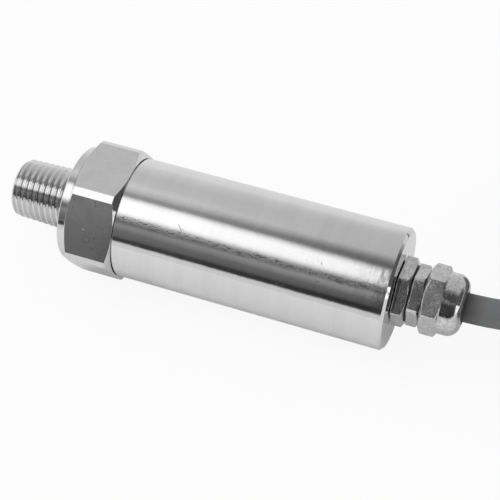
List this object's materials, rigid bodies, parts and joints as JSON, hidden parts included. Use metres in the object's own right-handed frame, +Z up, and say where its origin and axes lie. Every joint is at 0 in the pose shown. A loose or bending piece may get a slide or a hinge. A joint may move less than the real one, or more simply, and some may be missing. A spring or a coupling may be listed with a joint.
{
  "type": "pressure sensor",
  "caption": "Pressure sensor in a round stainless housing with a hexagon, a tapered male thread and a cable gland whose dome nut screws on a threaded body",
  "frame": {"origin": "middle of the sensor's length without its free cable, on the surface that it lies on", "axes": "X along the sensor's axis towards the cable, Z up, one flat of the hexagon down"},
  "size_m": [0.1954, 0.0927, 0.027],
  "materials": {
    "stainless": "turned and milled stainless steel",
    "stainless_tube": "finely turned and polished stainless steel",
    "black_rubber": "matte",
    "cell_steel": "turned",
    "green_glass": "fused glass",
    "gold_pins": "gold plated",
    "white_ceramic": "matte",
    "ribbon_film": "film",
    "carrier_plastic": "moulded",
    "board_green": "solder mask",
    "chip_black": "moulded",
    "trimmer_blue": "moulded",
    "can_metal": "drawn can",
    "terminal_green": "moulded",
    "screw_steel": "plated",
    "core_red": "smooth insulation",
    "core_black": "smooth insulation",
    "core_clear": "smooth insulation",
    "nickel_plate": "nickel plated brass",
    "insert_plastic": "moulded",
    "cable_grey": "smooth grey jacket",
    "tie_plastic": "moulded strap"
  },
  "bodies": {
    "sensor": {"process_connection": "stainless", "housing_tube": "stainless_tube", "housing_o_ring": "black_rubber", "sensor_capsule": "cell_steel", "sensor_diaphragm": "cell_steel", "glass_feedthroughs": "green_glass", "capsule_pins": "gold_pins", "sensor_o_ring": "black_rubber", "retaining_ring": "cell_steel", "compensation_board": "white_ceramic", "sensor_ribbon": "ribbon_film", "board_carrier": "carrier_plastic", "amplifier_board": "board_green", "amplifier_chip": "chip_black", "zero_trimmer": "trimmer_blue", "span_trimmer": "trimmer_blue", "filter_capacitor": "can_metal", "resistors": "chip_black", "terminal_block": "terminal_green", "terminal_screws": "screw_steel", "red_core": "core_red", "black_core": "core_black", "shield_core": "core_clear", "gland_gasket": "black_rubber", "lock_nut": "nickel_plate", "seal_washer": "black_rubber", "gland_body": "nickel_plate", "clamping_insert": "insert_plastic", "cable_seal": "black_rubber", "cable": "cable_grey", "cable_coil": "cable_grey", "coil_ties": "tie_plastic", "cable_tail": "cable_grey", "red_tail_core": "core_red", "black_tail_core": "core_black", "shield_tail_core": "core_clear"},
    "slip_ring": {"thrust_ring": "insert_plastic"},
    "dome_nut": {"dome_nut": "nickel_plate"}
  },
  "joints": [
    {"name": "slip_ring_travel", "type": "slide", "parent": "sensor", "child": "slip_ring", "axis": [1, 0, 0], "range_m": [0, 0.0025]},
    {"name": "dome_nut_turn", "type": "hinge", "parent": "slip_ring", "child": "dome_nut", "pos_m": [0.0445, 0, 0.0135], "axis": [1, 0, 0], "range_deg": [0, 900]}
  ],
  "couplings": [
    {"joint": "slip_ring_travel", "follows": "dome_nut_turn", "m_per_rad": 0.00015915}
  ]
}
